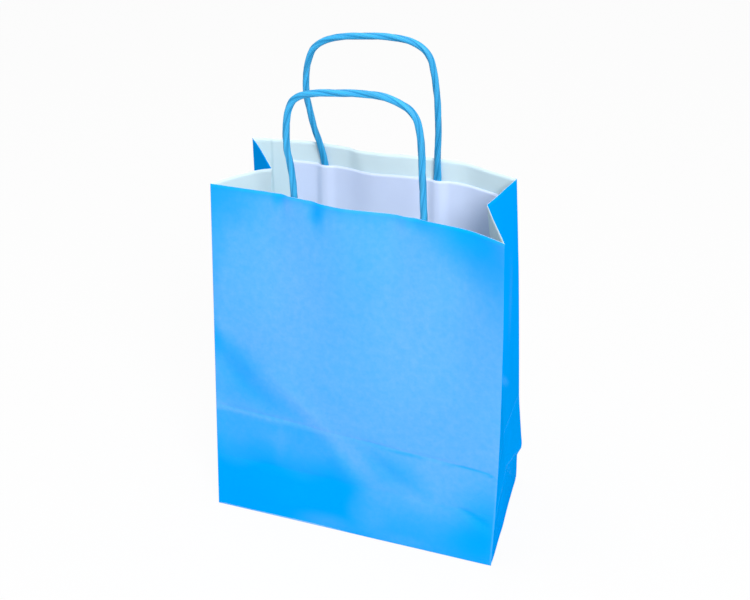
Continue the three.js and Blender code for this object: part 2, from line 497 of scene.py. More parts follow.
# Buckles of the sides, as ellipses: share across and height of the middle, two half lengths, the turn of
# the first from level in degrees, how far the paper stands out there, and how soft the edge is
BUCKLES = {
    "front": (
        (0.245, 221 * MM, 5 * MM, 16 * MM, 6, -0.9 * MM, 1.0),
        (0.285, 221 * MM, 6 * MM, 18 * MM, 0, 0.7 * MM, 1.0),
        (0.355, 221 * MM, 6 * MM, 22 * MM, 8, -1.0 * MM, 1.0),
        (0.665, 221 * MM, 7 * MM, 16 * MM, 0, 0.8 * MM, 1.0),
        (0.70, 221 * MM, 6 * MM, 12 * MM, -6, -0.8 * MM, 1.0),
        (0.90, 221 * MM, 26 * MM, 14 * MM, -10, -0.8 * MM, 1.0),
        (0.10, 96 * MM, 44 * MM, 12 * MM, -36, -0.9 * MM, 1.0),
        (0.34, 84 * MM, 44 * MM, 9 * MM, -38, 0.7 * MM, 1.0),
        (0.46, 52 * MM, 30 * MM, 9 * MM, -52, 0.6 * MM, 1.0),
        (0.62, 54 * MM, 30 * MM, 6 * MM, -38, -0.5 * MM, 1.0),
        (0.93, 34 * MM, 20 * MM, 4 * MM, -24, -0.6 * MM, 1.0),
        (0.95, 24 * MM, 16 * MM, 8 * MM, -30, 0.4 * MM, 1.0),
        (0.25, 38 * MM, 50 * MM, 7 * MM, -4, -0.4 * MM, 1.0),
    ),
    "back": (
        (0.60, 221 * MM, 7 * MM, 24 * MM, 0, -1.0 * MM, 1.0),
        (0.54, 221 * MM, 8 * MM, 24 * MM, 0, 0.8 * MM, 1.0),
        (0.30, 221 * MM, 8 * MM, 18 * MM, 0, -0.7 * MM, 1.0),
        (0.35, 120 * MM, 60 * MM, 10 * MM, 32, -0.8 * MM, 1.0),
        (0.70, 90 * MM, 50 * MM, 9 * MM, -28, 0.7 * MM, 1.0),
        (0.20, 44 * MM, 34 * MM, 7 * MM, 22, -0.5 * MM, 1.0),
    ),
    "right_front": (
        (0.7, 119 * MM, 30 * MM, 5 * MM, -38, 0.5 * MM, 1.0),
        (0.5, 60 * MM, 16 * MM, 5 * MM, -30, -0.4 * MM, 1.0),
    ),
    "right_back": (
        (0.2, 104 * MM, 26 * MM, 6 * MM, -38, 0.4 * MM, 1.0),
        (0.5, 150 * MM, 40 * MM, 8 * MM, 76, 0.4 * MM, 1.0),
    ),
    "left_front": (
        (0.5, 82 * MM, 26 * MM, 6 * MM, 44, -0.5 * MM, 1.0),
        (0.4, 150 * MM, 44 * MM, 7 * MM, 84, 0.4 * MM, 1.0),
    ),
    "left_back": ((0.5, 94 * MM, 24 * MM, 6 * MM, -44, -0.5 * MM, 1.0),),
}

# Ear on the back right fold, where the base was folded: height, then how far the fold moves to the right,
# and the share of each side over which that fades out
EAR_STEPS = (
    (0, 0.4 * MM), (6 * MM, 0), (14 * MM, -0.8 * MM), (22 * MM, -1.5 * MM), (24 * MM, -1.3 * MM),
    (27 * MM, 0.5 * MM), (29 * MM, 0.8 * MM), (37 * MM, 0.5 * MM), (60 * MM, 0),
)
EAR_FADE = {"right_back": 0.5, "back": 0.1}


def ear_shift(side, share, height):
    """How far the paper beside the back right fold is moved to the right."""
    if side not in EAR_FADE:
        return 0.0
    from_fold = 1 - share if side == "right_back" else share
    near = 1 - ease(from_fold / EAR_FADE[side])
    for (low, start), (high, end) in zip(EAR_STEPS, EAR_STEPS[1:]):
        if low <= height < high:
            return near * blend(start, end, (height - low) / (high - low))
    return 0.0


# The left gusset's middle fold leans in, so its top end dips and comes forward. These are the move of that
# end, how far below the rim it starts, and the power by which it grows from a gusset's corner to the fold.
DIP = Vector((-1.4 * MM, -4.2 * MM, -2.5 * MM))
DIP_REACH = 80 * MM
DIP_SHAPE = {"left_front": 2.8, "left_back": 1.2}


def dip_at(side, share, height):
    """How far the paper beside the left gusset's middle fold is moved by the dip."""
    if side not in DIP_SHAPE:
        return Vector((0, 0, 0))
    to_fold = 1 - share if side == "left_front" else share
    return DIP * to_fold ** DIP_SHAPE[side] * ease((height - BODY_HIGH.z + DIP_REACH) / DIP_REACH)


def diagonal_height(side, share):
    """Height on a gusset of the crease that runs from its lower corner up to its middle fold."""
    from_corner = share if side in ("right_front", "left_back") else 1 - share
    return from_corner * GUSSET_HALF


def crease_height(line, fold, share):
    """Height of a crease line at a share between one fold and the next."""
    return blend(line[fold], line[(fold + 1) % len(line)], share)


# Pressed creases of a panel or a gusset: line, how far it stands out in crease depths, half its width
CREASES = {
    "front": (("valley", -1, 1.8 * MM), ("apex", -0.3, 3 * MM)),
    "back": (("apex", 1, 2 * MM), ("valley", -0.3, 3 * MM)),
    "gusset": (("apex", 0.6, 2 * MM), ("valley", -0.6, 2 * MM), ("diagonal", -0.8, 2.5 * MM)),
}
CREASE_FADE = 0.03
SLACK = 0.35 * MM


def above_creases(side, share, height):
    """How far a height is above each crease line of a side."""
    fold = SIDES.index(side)
    return {
        "valley": height - crease_height(VALLEY_LINE, fold, share),
        "apex": height - crease_height(APEX_LINE, fold, share),
        "diagonal": height - diagonal_height(side, share),
    }


def firmness(side, line, share):
    """How firmly a crease is pressed: evenly, but for the front panel's valley."""
    if side != "front" or line != "valley":
        return 1.0
    return 0.6 + 0.8 * noise.noise(Vector((share * 6, 1, 1)))


def relief(side, share, height, depth):
    """How far the paper stands off the read sheet: slack, pressed creases and buckles."""
    off = slack(side, share, height)
    above = above_creases(side, share, height)
    for line, strength, reach in CREASES[side if side in PANELS else "gusset"]:
        off += depth * strength * firmness(side, line, share) * bell(above[line], reach)
    wide = SIDE_WIDTH if side in PANELS else GUSSET_HALF
    for area in BUCKLES[side]:
        off += area[5] * within(area, share, height, wide)
    return off * ease(min(share, 1 - share) / CREASE_FADE)


def slack(side, share, height):
    """Slow unevenness of the sheet, seeded by place only."""
    place = Vector((share * 3.1 + 7 * SIDES.index(side), height * 14, 0.5))
    return SLACK * noise.noise(place)


# Painted sheen and painted dark reflections of the front panel, set as its coat weight. Each area is an
# ellipse: share across and height of its middle, its two half lengths, the turn of the first from level in
# degrees, how much it changes, and how soft its edge is.
# Painted dark reflections: each takes away a share of the coat's sheen
PAINTED_DARK_REFLECTIONS = (
    (0.0, 122 * MM, 10 * MM, 20 * MM, 0, 0.7, 0.8),
    (0.07, 108 * MM, 40 * MM, 18 * MM, -38, 0.68, 0.9),
    (0.08, 88 * MM, 52 * MM, 22 * MM, -14, 0.45, 0.9),
    (0.22, 84 * MM, 40 * MM, 13 * MM, -24, 0.4, 0.9),
    (0.72, 0, 100 * MM, 60 * MM, 0, 0.8, 0.9),
    (0.98, 24 * MM, 34 * MM, 58 * MM, 0, 0.9, 0.9),
    (0.94, 14 * MM, 32 * MM, 26 * MM, 6, 0.8, 0.9),
    (0.94, 34.5 * MM, 16 * MM, 3.4 * MM, -18, 0.85, 0.8),
    (0.30, 36.5 * MM, 60 * MM, 1.6 * MM, 0, 0.4, 0.9),
    (0.65, 54 * MM, 34 * MM, 20 * MM, -40, 0.5, 0.95),
    (0.66, 55 * MM, 34 * MM, 8 * MM, -38, 0.3, 0.95),
    (0.56, 58 * MM, 28 * MM, 7 * MM, -48, 0.2, 0.95),
    (0.69, 69 * MM, 18 * MM, 1.6 * MM, -1, 0.6, 0.9),
    (0.90, 68.4 * MM, 20 * MM, 1.5 * MM, -3, 0.75, 0.9),
    (0.98, 66.6 * MM, 7 * MM, 1.8 * MM, -20, 0.7, 0.9),
    (0.88, 214 * MM, 48 * MM, 30 * MM, -20, 0.9, 0.9),
    (0.78, 221 * MM, 50 * MM, 11 * MM, -4, 0.75, 0.9),
    (1.0, 194 * MM, 26 * MM, 42 * MM, 0, 0.5, 0.95),
    (0.24, 219 * MM, 7 * MM, 10 * MM, 0, 0.85, 0.9),
    (0.385, 214 * MM, 7 * MM, 16 * MM, 8, 0.85, 0.9),
    (0.71, 219 * MM, 14 * MM, 9 * MM, 0, 0.85, 0.9),
    (0.02, 214 * MM, 42 * MM, 32 * MM, 0, 0.78, 0.95),
    (0.2, 222 * MM, 70 * MM, 9 * MM, 0, 0.7, 0.9),
    (0.0, 180 * MM, 12 * MM, 60 * MM, 0, 0.4, 0.9),
    (0.50, 222 * MM, 50 * MM, 14 * MM, 0, 0.5, 0.9),
    (0.54, 172 * MM, 14 * MM, 44 * MM, 3, 0.1, 0.95),
    (0.42, 98 * MM, 26 * MM, 8 * MM, -38, 0.14, 0.9),
)
# Painted sheen: each adds coat sheen back
PAINTED_SHEEN_AREAS = (
    (0.27, 160 * MM, 36 * MM, 70 * MM, 0, 0.85, 0.95),
    (0.70, 155 * MM, 46 * MM, 85 * MM, 0, 0.85, 0.95),
    (0.36, 84 * MM, 30 * MM, 8 * MM, -40, 0.6, 0.95),
    (0.48, 62 * MM, 22 * MM, 9 * MM, -50, 0.5, 0.95),
    (0.72, 38 * MM, 24 * MM, 9 * MM, -20, 0.4, 0.95),
    (0.57, 14 * MM, 18 * MM, 14 * MM, 0, 0.18, 0.95),
    (0.42, 4 * MM, 30 * MM, 10 * MM, 0, 0.25, 0.95),
    (0.70, 4 * MM, 26 * MM, 7 * MM, 0, 0.2, 0.95),
    (0.235, 56 * MM, 7 * MM, 18 * MM, 0, 0.22, 0.95),
    (0.15, 72.5 * MM, 60 * MM, 1.6 * MM, -1, 0.3, 0.95),
)

# Satin of the front panel where no area lies
PLAIN_SATIN = 0.8

# Painted highlights on the gussets, set as coat weight, listed in the same way
PAINTED_SHEEN_PLACES = {
    "right_front": (
        (0.75, 119 * MM, 24 * MM, 2.6 * MM, -38, 0.3, 0.95),
        (0.6, 108 * MM, 22 * MM, 4 * MM, -52, 0.14, 0.95),
        (0.5, 172 * MM, 40 * MM, 4 * MM, 84, 0.05, 0.95),
    ),
    "right_back": (
        (0.1, 103 * MM, 20 * MM, 3 * MM, -38, 0.16, 0.95),
        (0.6, 150 * MM, 40 * MM, 6 * MM, 80, 0.06, 0.95),
    ),
    "left_front": (
        (0.5, 80 * MM, 26 * MM, 4 * MM, 48, 0.16, 0.95),
        (0.4, 150 * MM, 44 * MM, 6 * MM, 84, 0.08, 0.95),
    ),
    "left_back": (
        (0.5, 92 * MM, 24 * MM, 4 * MM, -44, 0.14, 0.95),
        (0.5, 140 * MM, 40 * MM, 6 * MM, 78, 0.08, 0.95),
    ),
}

# Painted dark reflection at the lower left corner of the front panel, where the coat's sheen is taken away.
# Each step is a share of the whole, how far below the valley crease it starts, over how much it comes in
# and how ragged it is. Its right edge stands at a share across, is upright below the knee and slants to the
# left above it, and it is soft over a width.
WEDGE_STEPS = ((0.6, 1 * MM, 4 * MM, 0), (0.25, 14 * MM, 16 * MM, 8 * MM), (0.15, 27 * MM, 14 * MM, 8 * MM))
WEDGE_EDGE = 0.55
WEDGE_KNEE = 42 * MM
WEDGE_SLANT = 0.95
WEDGE_SOFT = 26 * MM


def within(area, share, height, wide=SIDE_WIDTH):
    """1 inside an area of a side so wide, falling to 0 over the area's soft edge."""
    middle, level, across, upright, turn, _, soft = area
    x = (share - middle) * wide
    z = height - level
    angle = math.radians(turn)
    along = x * math.cos(angle) + z * math.sin(angle)
    off = z * math.cos(angle) - x * math.sin(angle)
    return 1 - ease((math.hypot(along / across, off / upright) - 1 + soft) / soft)


def wedge_at(share, height):
    """How much painted dark reflection takes the sheen off the lower left corner of the front, below the
    crease and left of a slanting edge.
    """
    drop = crease_height(VALLEY_LINE, SIDES.index("front"), share) - height
    rough = noise.noise(Vector((share * 8, height * 22, 9)))
    deep = 0.0
    for part, start, reach, rag in WEDGE_STEPS:
        deep += part * ease((drop + rag * rough - start) / reach)
    edge = WEDGE_EDGE - WEDGE_SLANT * max(0.0, height - WEDGE_KNEE) / SIDE_WIDTH
    return deep * ease(0.5 - (share - edge) * SIDE_WIDTH / WEDGE_SOFT)


# Painted highlight along the creases of a gusset, set as coat weight, and half its width
CREASE_HIGHLIGHT = 0.12
CREASE_HIGHLIGHT_REACH = 1.6 * MM


def gusset_painted_sheen(side, share, height):
    """Coat weight of a gusset: none but painted highlights along its creases and on a few places."""
    highlight_tone = 0.5 + 0.5 * noise.noise(Vector((share * 6 + SIDES.index(side), height * 60, 4)))
    above = above_creases(side, share, height).values()
    creased = max(CREASE_HIGHLIGHT * highlight_tone * bell(off, CREASE_HIGHLIGHT_REACH) for off in above)
    placed_sheen = max(area[5] * within(area, share, height, GUSSET_HALF) for area in PAINTED_SHEEN_PLACES[side])
    return max(creased, placed_sheen)


# Coat of the back panel, the painted highlight along its ridge and half the ridge's width
BACK_SATIN = 0.4
RIDGE_HIGHLIGHT = 0.3
RIDGE_REACH = 1.5 * MM


def back_coat_and_sheen(place, share, height):
    """Coat weight of the back panel: middling, a little cloudy, with a painted highlight along its ridge.
    """
    cloudy = 0.12 * noise.noise(place * 0.5) + 0.1 * noise.noise(place * 2)
    ridge = above_creases("back", share, height)["apex"]
    return BACK_SATIN + cloudy + RIDGE_HIGHLIGHT * bell(ridge, RIDGE_REACH)


# How far the edges of the front panel's areas wander, and the painted highlight along its right fold: how
# much it adds, how wide it is, and the height over which it fades out, twice over
SHARE_WANDER = 0.03
HEIGHT_WANDER = 1.5 * MM
FOLD_HIGHLIGHT = 0.5
FOLD_HIGHLIGHT_WIDTH = 1.8 * MM
FOLD_HIGHLIGHT_HEIGHT = 60 * MM


def front_coat_and_sheen(place, share, height):
    """Coat weight of the front panel: its plain coat with painted dark reflections, painted sheen and a
    painted highlight along its right fold.
    """
    fold_highlight = bell((1 - share) * SIDE_WIDTH, FOLD_HIGHLIGHT_WIDTH) * ease(2 - height / FOLD_HIGHLIGHT_HEIGHT)
    share += SHARE_WANDER * noise.noise(place)
    height += HEIGHT_WANDER * noise.noise(place + Vector((0, 0, 5)))
    front_coat = PLAIN_SATIN
    for area in PAINTED_DARK_REFLECTIONS:
        front_coat *= 1 - area[5] * within(area, share, height)
    front_coat *= 1 - wedge_at(share, height)
    for area in PAINTED_SHEEN_AREAS:
        front_coat += area[5] * within(area, share, height) * max(0.0, 1 - front_coat)
    front_coat += FOLD_HIGHLIGHT * fold_highlight * max(0.0, 1 - front_coat)
    return front_coat * (1 + 0.08 * noise.noise(place * 3))


def coat_and_sheen_at(side, share, height):
    """Coat weight at a place, from 0 to 1: the paper's coat with painted sheen, highlights and dark
    reflections.
    """
    place = Vector((share * 9, height * 50, 2.0 + SIDES.index(side)))
    if side == "front":
        return front_coat_and_sheen(place, share, height)
    if side == "back":
        return back_coat_and_sheen(place, share, height)
    return gusset_painted_sheen(side, share, height)


# Meshes


def grid_object(name, rows, closed=False):
    """Mesh through equally long rows of points; closed joins each row's end to its start."""
    count = len(rows[0])
    points = [point for row in rows for point in row]
    faces = []
    for k in range(len(rows) - 1):
        for i in range(count if closed else count - 1):
            j = (i + 1) % count
            faces.append((k * count + i, k * count + j, (k + 1) * count + j, (k + 1) * count + i))
    mesh = bpy.data.meshes.new(name)
    mesh.from_pydata(points, [], faces)
    mesh.validate()
    mesh.shade_smooth()
    piece = bpy.data.objects.new(name, mesh)
    bpy.context.collection.objects.link(piece)
    return piece


def thicken(piece, thickness, inner_slot=0, rim_slot=0):
    """Gives a sheet its paper thickness, inwards from its outer face."""
    solid = piece.modifiers.new("Paper thickness", "SOLIDIFY")
    solid.thickness = thickness
    solid.offset = -1
    solid.use_quality_normals = True
    solid.material_offset = inner_slot
    solid.material_offset_rim = rim_slot
    return solid


def even_steps(start, end, step):
    """Places from start to end, no more than a step apart, without the end."""
    count = max(1, math.ceil(abs(end - start) / step))
    return [blend(start, end, k / count) for k in range(count)]


# Places of the mesh beside a crease and beside a fold, of the two columns at the lap's edge, and the gap
# between those and the next
BESIDE_CREASE = (0, 0.5 * MM, 1.1 * MM, 2 * MM)
BESIDE_FOLD = (0, 0.35 * MM, 0.8 * MM, 1.6 * MM)
BESIDE_SEAM = 0.08 * MM
SEAM_GAP = 0.64 * MM


def sheet_rows(step):
    """Rows of the bag's mesh, each as a crease line below, one above and the share between them."""
    front_fold = SIDES.index("front")
    last = BESIDE_CREASE[-1]
    rows = []
    for low, high in ((FOOT_LINE, APEX_LINE), (APEX_LINE, VALLEY_LINE)):
        tall = high[front_fold] - low[front_fold]
        places = [d / tall for d in BESIDE_CREASE]
        places += even_steps(last / tall, 1 - last / tall, step / tall)[1:]
        places += [1 - d / tall for d in reversed(BESIDE_CREASE[1:])]
        rows += [(low, high, share) for share in places]
    tall = BODY_HIGH.z - VALLEY_LINE[front_fold]
    places = [d / tall for d in BESIDE_CREASE] + even_steps(last / tall, 1, step / tall)[1:] + [1]
    rim_line = (BODY_HIGH.z,) * len(SIDES)
    return rows + [(VALLEY_LINE, rim_line, share) for share in places]


def side_shares(wide, step, seam=None):
    """Shares across a side for the columns of the mesh, close together at the folds."""
    last = BESIDE_FOLD[-1]
    shares = [d / wide for d in BESIDE_FOLD]
    shares += even_steps(last / wide, 1 - last / wide, step / wide)[1:]
    shares += [1 - d / wide for d in reversed(BESIDE_FOLD[1:])]
    if seam:
        edge = BESIDE_SEAM / wide
        shares = [s for s in shares if abs(s - seam) > SEAM_GAP / wide] + [seam - edge, seam + edge]
    return sorted(shares)


# Height at which the sides are measured, rise of the lap, and how much of the way to the base's middle the
# sheet turns in under the base at its foot
MEASURED_AT = 100 * MM
SEAM_STEP = 0.2 * MM
TURN_IN = 0.03


def sheet_columns(sheet, step, seam):
    """Columns of the bag's mesh, each as the number of its fold, its side and the share across it."""
    columns = []
    for fold, side in enumerate(SIDES):
        wide = (sheet.point(side, 0, MEASURED_AT) - sheet.point(side, 1, MEASURED_AT)).length
        for share in side_shares(wide, step, seam if side == "back" else None):
            columns.append((fold, side, share))
    return columns


def paper_point(sheet, side, share, height, depth, seam):
    """Point of the bag's outer face, with all that is pressed into it."""
    off = relief(side, share, height, depth)
    if side == "back" and share > seam:
        off += SEAM_STEP * ease((1 - share) * SIDE_WIDTH / MM)
    point = sheet.point(side, share, height)
    point.x += ear_shift(side, share, height)
    point += dip_at(side, share, height)
    return point + off * sheet.outward(side, share, height)


def make_paper(sheet, paper):
    """The bag's wall in one sheet, folded at six upright folds."""
    seam = 1 - paper.seam_lap / SIDE_WIDTH
    columns = sheet_columns(sheet, paper.mesh_step, seam)
    rows = []
    shine = []
    for low, high, rise in sheet_rows(paper.mesh_step):
        row = []
        for fold, side, share in columns:
            height = blend(crease_height(low, fold, share), crease_height(high, fold, share), rise)
            # Coat weight at each point: the plain coat with painted sheen, highlights and dark reflections
            shine.append(coat_and_sheen_at(side, share, height))
            row.append(paper_point(sheet, side, share, height, paper.crease_depth, seam))
        rows.append(row)
    foot = rows[0]
    middle = sum(foot, Vector((0, 0, 0))) / len(foot)
    rows.insert(0, [point.lerp(middle, TURN_IN) for point in foot])
    shine = shine[: len(foot)] + shine
    piece = grid_object("bag_paper", rows, closed=True)
    coat_and_painted_sheen = piece.data.attributes.new("coat_and_painted_sheen", "FLOAT", "POINT")
    coat_and_painted_sheen.data.foreach_set("value", shine)
    return piece


# Material slots of the wall and the base, where slot 0 is the print
INSIDE_SLOT = 1
EDGE_SLOT = 2


def plate(mesh, under, over, low, high, top_slot=0, cut_slot=0):
    """Adds a flat piece of paper between an outline and one above it, its first side on a fold."""
    below = [mesh.verts.new((p.x, p.y, low)) for p in under]
    above = [mesh.verts.new((p.x, p.y, high)) for p in over]
    mesh.faces.new(below[::-1])
    mesh.faces.new(above).material_index = top_slot
    for i in range(len(under)):
        j = (i + 1) % len(under)
        side = mesh.faces.new((below[i], below[j], above[j], above[i]))
        side.material_index = cut_slot if i else 0


def flap_outline(start, end, depth, inward):
    """A flap on the fold from start to end, its two ends cut at 45 degrees."""
    along = (end - start).normalized()
    return [start, end, end + depth * (inward - along), start + depth * (inward + along)]


# How much less of a flap there is at its lower face
CUT_SLANT = 0.4 * MM


def flap(mesh, start, end, depth, inward, low, high):
    """Adds a base flap, its cut edges a little slanted so that they show from below."""
    along = CUT_SLANT * (end - start).normalized()
    under = flap_outline(start + along, end - along, depth - CUT_SLANT, inward)
    plate(mesh, under, flap_outline(start, end, depth, inward), low, high, cut_slot=EDGE_SLOT)


def make_base(sheet, paper):
    """The folded base: from below the back flap, the front flap, two gusset ends and the ground."""
    corner = {
        name: sheet.point(side, share, 0)
        for name, side, share in (
            ("front_left", "front", 0),
            ("front_right", "front", 1),
            ("back_right", "back", 0),
            ("back_left", "back", 1),
        )
    }
    inset = 0.5 * paper.thickness
    middle = sum(corner.values(), Vector((0, 0, 0))) / 4
    held = {name: point + inset * (middle - point).normalized() for name, point in corner.items()}
    front_left, front_right = held["front_left"], held["front_right"]
    back_left, back_right = held["back_left"], held["back_right"]
    deep = (back_left - front_left).length / 2
    forward, backward = Vector((0, -1, 0)), Vector((0, 1, 0))
    layer = paper.thickness
    mesh = bmesh.new()
    flap(mesh, back_right, back_left, paper.base_flap, forward, 0, layer)
    flap(mesh, front_left, front_right, paper.base_flap, backward, layer, 2 * layer)
    for near, far, turn in ((back_left, front_left, 1), (front_right, back_right, -1)):
        tip = (near + far) / 2 + Vector((turn * deep, 0, 0))
        plate(mesh, [near, far, tip], [near, far, tip], 2 * layer, 3 * layer)
    ground = [front_left, front_right, back_right, back_left]
    plate(mesh, ground, ground, 3 * layer, 4 * layer, top_slot=INSIDE_SLOT)
    made = bpy.data.meshes.new("bag_base")
    mesh.to_mesh(made)
    mesh.free()
    piece = bpy.data.objects.new("bag_base", made)
    bpy.context.collection.objects.link(piece)
    return piece


# Materials


class Nodes:
    """Short way to add and join the nodes of one material."""

    def __init__(self, name):
        self.material = bpy.data.materials.new(name)
        self.material.use_nodes = True
        self.tree = self.material.node_tree
        self.shader = self.tree.nodes["Principled BSDF"]

    def add(self, kind, **inputs):
        """Adds a node; inputs are sockets by name, set to a value or linked from a socket."""
        node = self.tree.nodes.new(kind)
        for socket, value in inputs.items():
            self.set(node, socket.replace("_", " "), value)
        return node

    def set(self, node, socket, value):
        """Sets one socket to a value, or links it."""
        if isinstance(value, bpy.types.NodeSocket):
            self.tree.links.new(value, node.inputs[socket])
        else:
            node.inputs[socket].default_value = value

    def noise(self, where, scale, detail=3, roughness=0.5):
        """Value of a noise at some coordinates."""
        node = self.add("ShaderNodeTexNoise", Vector=where, Scale=scale, Detail=detail, Roughness=roughness)
        return node.outputs["Fac"]

    def attribute(self, name):
        """Node that reads a value kept at the mesh's points."""
        node = self.tree.nodes.new("ShaderNodeAttribute")
        node.attribute_name = name
        return node

    def place(self):
        """The surface's own coordinates, in metres."""
        return self.add("ShaderNodeTexCoord").outputs["Object"]

    def mix(self, share, a, b):
        """Colour between a and b."""
        node = self.tree.nodes.new("ShaderNodeMix")
        node.data_type = "RGBA"
        self.set(node, 0, share)
        self.set(node, 6, a)
        self.set(node, 7, b)
        return node.outputs[2]

    def span(self, value, low, high, start, end):
        """A value taken from the range low to high over to start to end."""
        node = self.tree.nodes.new("ShaderNodeMapRange")
        self.set(node, 0, value)
        for socket, number in zip((1, 2, 3, 4), (low, high, start, end)):
            self.set(node, socket, number)
        return node.outputs[0]

    def bump(self, height, strength, distance):
        """Normal from a height."""
        node = self.add("ShaderNodeBump", Height=height, Strength=strength, Distance=distance)
        return node.outputs["Normal"]

    def arithmetic(self, operation, a, b):
        """Result of an operation on two values."""
        node = self.tree.nodes.new("ShaderNodeMath")
        node.operation = operation
        self.set(node, 0, a)
        self.set(node, 1, b)
        return node.outputs[0]

    def finish(self, **sockets):
        """Sets the shader's sockets and gives the material."""
        for socket, value in sockets.items():
            self.set(self.shader, socket.replace("_", " "), value)
        return self.material


def rgba(colour, level=1.0):
    """A colour setting as the four numbers of a colour socket."""
    return tuple(min(1.0, part * level) for part in colour) + (1.0,)


def printed_paper(paper):
    """Blue print on smooth coated paper with faint fibres; the coat's weight follows the mesh's painted
    sheen map.
    """
    nodes = Nodes("printed_blue_paper")
    where = nodes.place()
    cloud = nodes.noise(where, 18, 4)
    fibre = nodes.noise(where, 900, 5, 0.65)
    tone = nodes.span(cloud, 0.3, 0.7, 0.0, 1.0)
    colour = nodes.mix(tone, rgba(paper.outside_colour, 0.97), rgba(paper.outside_colour, 1.03))
    mottle = nodes.span(nodes.noise(where, 260, 4, 0.6), 0.3, 0.7, 0.82, 1.18)
    # Coat weight from the mesh's painted sheen map, mottled
    coat_and_painted_sheen = nodes.arithmetic("MULTIPLY", nodes.attribute("coat_and_painted_sheen").outputs["Fac"], mottle)
    return nodes.finish(
        Base_Color=colour,
        Roughness=nodes.span(fibre, 0.3, 0.7, 0.55, 0.65),
        Normal=nodes.bump(fibre, 0.25, 0.02 * MM),
        Specular_IOR_Level=0,
        Coat_Weight=coat_and_painted_sheen,
        Coat_Roughness=0.32,
        Coat_IOR=2.3,
    )


# Scale of the fibres in each plain paper, to the metre
INSIDE_FIBRE = 700
PATCH_FIBRE = 600
EDGE_FIBRE = 1500


def plain_paper(name, colour, scale):
    """Unprinted paper with its fibres."""
    nodes = Nodes(name)
    where = nodes.place()
    cloud = nodes.noise(where, 30, 3)
    fibre = nodes.noise(where, scale, 5, 0.7)
    tone = nodes.span(cloud, 0.3, 0.7, 0.0, 1.0)
    return nodes.finish(
        Base_Color=nodes.mix(tone, rgba(colour, 0.96), rgba(colour, 1.02)),
        Roughness=nodes.span(fibre, 0.3, 0.7, 0.62, 0.78),
        Normal=nodes.bump(fibre, 0.3, 0.03 * MM),
    )


def cord_paper(handle):
    """Dyed paper twisted into a cord: painted shade darkens the grooves, and the fine folds running round
    with the twist are painted darker in their hollows.
    """
    nodes = Nodes("twisted_blue_cord")
    ridge = nodes.attribute("ridge").outputs["Fac"]
    strand = nodes.attribute("strand").outputs["Vector"]
    folds = nodes.noise(strand, 5, 3, 0.6)
    fibre = nodes.noise(nodes.place(), 1400, 4, 0.6)
    # Painted shade: the dye is made darker where the folds' bump is low, in their hollows
    tone = nodes.span(folds, 0.38, 0.62, 0, 1)
    lit = nodes.mix(tone, rgba(handle.colour, 0.72), rgba(handle.colour, 1.18))
    height = nodes.arithmetic("ADD", folds, nodes.span(fibre, 0, 1, 0, 0.3))
    return nodes.finish(
        # Painted groove shade at the bottom of the grooves, the lit colour up the ridges
        Base_Color=nodes.mix(ridge, rgba(handle.groove_shade_colour), lit),
        Roughness=nodes.span(fibre, 0.3, 0.7, 0.42, 0.6),
        Specular_IOR_Level=0.42,
        Normal=nodes.bump(height, 0.7, 0.25 * MM),
    )


def paint(piece, *materials):
    """Gives a piece its materials, in slot order."""
    for material in materials:
        piece.data.materials.append(material)


# Handles

# Route of each handle above the rim, from its left leg: share of the way across, share of the reach
ARCH_ROUTE = {
    "front": (
        (-0.022, 0.32), (-0.037, 0.41), (-0.04, 0.5), (-0.036, 0.59), (-0.027, 0.68), (-0.012, 0.766),
        (0.022, 0.845), (0.06, 0.886), (0.11, 0.916), (0.24, 0.953), (0.39, 0.977), (0.535, 0.995),
        (0.68, 0.999), (0.8, 0.971), (0.89, 0.92), (0.94, 0.846), (0.961, 0.766), (0.972, 0.684),
        (0.977, 0.6), (0.985, 0.386), (0.993, 0.167),
    ),
    "back": (
        (-0.038, 0.121), (-0.078, 0.295), (-0.099, 0.425), (-0.1, 0.556), (-0.09, 0.643), (-0.069, 0.731),
        (-0.035, 0.819), (0.025, 0.88), (0.11, 0.927), (0.243, 0.961), (0.407, 0.982), (0.609, 0.995),
        (0.761, 0.979), (0.835, 0.953), (0.893, 0.912), (0.936, 0.843), (0.957, 0.763), (0.973, 0.682),
        (0.983, 0.6), (0.998, 0.433), (1.003, 0.261), (1.002, 0.086),
    ),
}

# Legs of each handle: how far apart they are, how far right of the panel's middle, and how far each leans
# at the rim; then how high the arch stands above the rim
LEG_SPACING = {"front": 78 * MM, "back": 72 * MM}
LEG_SHIFT = {"front": 0.6 * MM, "back": -2.4 * MM}
LEG_LEAN = {"front": (0, 0), "back": (-3 * MM, 0)}
REACH = {"front": 66 * MM, "back": 72 * MM}

# Each leg goes this far below the rim, and is held at these shares of that, the last one at the rim
TUCK = 37 * MM
HELD_SHARES = (1, 0.7, 0.35, 0)

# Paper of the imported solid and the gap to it, behind which the legs and patches lie, and how much of the
# cord's depth is pressed away under a patch
CAD_PAPER = 0.3 * MM
CLEARANCE = 0.3 * MM
PRESSED = 0.45

# Mesh of a cord: points round it, their step along it and the steps of its curve between two route points
CORD_POINTS = 36
CORD_STEP = 0.9 * MM
CURVE_STEPS = 12

# Unevenness of a cord: its depth, how fast it changes round the cord and along it, to the metre, and how
# fast the fine folds change along it; their colour is painted darker in their hollows, as painted shade
STREAK_DEPTH = 0.14 * MM
STREAK_ROUND = 2.4
STREAK_ALONG = 30
FOLDS_ALONG = 8

# How much a pressed cord widens, and how soon the painted groove shade gives way to the lit colour on the
# way up a ridge
WIDENED = 0.5
RIDGE_GAIN = 1.6


def across_share(sheet, side, from_middle):
    """Share across a panel, in its own direction, of a place so far right of its middle at the rim."""
    wide = (sheet.point(side, 0, sheet.rim) - sheet.point(side, 1, sheet.rim)).length
    turn = 1 if side == "front" else -1
    return 0.5 + turn * from_middle / wide


